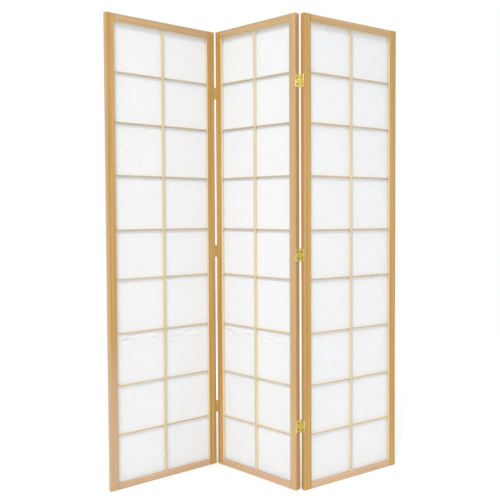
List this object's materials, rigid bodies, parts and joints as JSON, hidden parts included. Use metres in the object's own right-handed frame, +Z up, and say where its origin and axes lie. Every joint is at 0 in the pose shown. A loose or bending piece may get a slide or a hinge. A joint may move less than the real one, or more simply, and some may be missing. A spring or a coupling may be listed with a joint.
{
  "type": "folding room divider screen",
  "caption": "Tall folding room divider of wood-framed panels with a lattice over translucent paper, joined edge to edge by two-way brass screen hinges.",
  "frame": {"origin": "on the floor under the middle of the centre panel", "axes": "+Z up, -Y the front where the lattice shows, X along the spread of the zigzag"},
  "size_m": [1.0992, 0.2977, 1.784],
  "materials": {
    "frame_wood": "clear satin lacquer on honey coloured softwood",
    "lattice_wood": "clear satin lacquer on thin softwood bars",
    "bead_wood": "planed softwood strips",
    "dowel_wood": "raw glued hardwood",
    "paper": "matt white fibre paper, lets light through",
    "hinge_brass": "rolled and pressed brass, lightly polished",
    "pin_brass": "drawn brass wire",
    "screw_brass": "turned brass, slightly dull"
  },
  "bodies": {
    "centre_panel": {"centre_back_beads": "bead_wood", "centre_bottom_rail": "frame_wood", "centre_centre_bar": "lattice_wood", "centre_cross_bar_1": "lattice_wood", "centre_cross_bar_2": "lattice_wood", "centre_cross_bar_3": "lattice_wood", "centre_cross_bar_4": "lattice_wood", "centre_cross_bar_5": "lattice_wood", "centre_cross_bar_6": "lattice_wood", "centre_cross_bar_7": "lattice_wood", "centre_cross_bar_8": "lattice_wood", "centre_dowels": "dowel_wood", "centre_hinge_leaves": "hinge_brass", "centre_hinge_links": "hinge_brass", "centre_hinge_pins": "pin_brass", "centre_hinge_screws": "screw_brass", "centre_left_stile": "frame_wood", "centre_paper": "paper", "centre_right_stile": "frame_wood", "centre_top_rail": "frame_wood"},
    "left_panel": {"left_back_beads": "bead_wood", "left_bottom_rail": "frame_wood", "left_centre_bar": "lattice_wood", "left_cross_bar_1": "lattice_wood", "left_cross_bar_2": "lattice_wood", "left_cross_bar_3": "lattice_wood", "left_cross_bar_4": "lattice_wood", "left_cross_bar_5": "lattice_wood", "left_cross_bar_6": "lattice_wood", "left_cross_bar_7": "lattice_wood", "left_cross_bar_8": "lattice_wood", "left_dowels": "dowel_wood", "left_hinge_leaves": "hinge_brass", "left_hinge_links": "hinge_brass", "left_hinge_pins": "pin_brass", "left_hinge_screws": "screw_brass", "left_left_stile": "frame_wood", "left_paper": "paper", "left_right_stile": "frame_wood", "left_top_rail": "frame_wood"},
    "right_panel": {"right_back_beads": "bead_wood", "right_bottom_rail": "frame_wood", "right_centre_bar": "lattice_wood", "right_cross_bar_1": "lattice_wood", "right_cross_bar_2": "lattice_wood", "right_cross_bar_3": "lattice_wood", "right_cross_bar_4": "lattice_wood", "right_cross_bar_5": "lattice_wood", "right_cross_bar_6": "lattice_wood", "right_cross_bar_7": "lattice_wood", "right_cross_bar_8": "lattice_wood", "right_dowels": "dowel_wood", "right_hinge_leaves": "hinge_brass", "right_hinge_links": "hinge_brass", "right_hinge_pins": "pin_brass", "right_hinge_screws": "screw_brass", "right_left_stile": "frame_wood", "right_paper": "paper", "right_right_stile": "frame_wood", "right_top_rail": "frame_wood"}
  },
  "joints": [
    {"name": "valley_fold", "type": "hinge", "parent": "centre_panel", "child": "left_panel", "pos_m": [-0.18211, 0.12671, 0.892], "axis": [0, 0, 1], "range_deg": [-76.56, 103.44]},
    {"name": "ridge_fold", "type": "hinge", "parent": "centre_panel", "child": "right_panel", "pos_m": [0.18211, -0.12671, 0.892], "axis": [0, 0, 1], "range_deg": [-72.46, 107.54]}
  ]
}
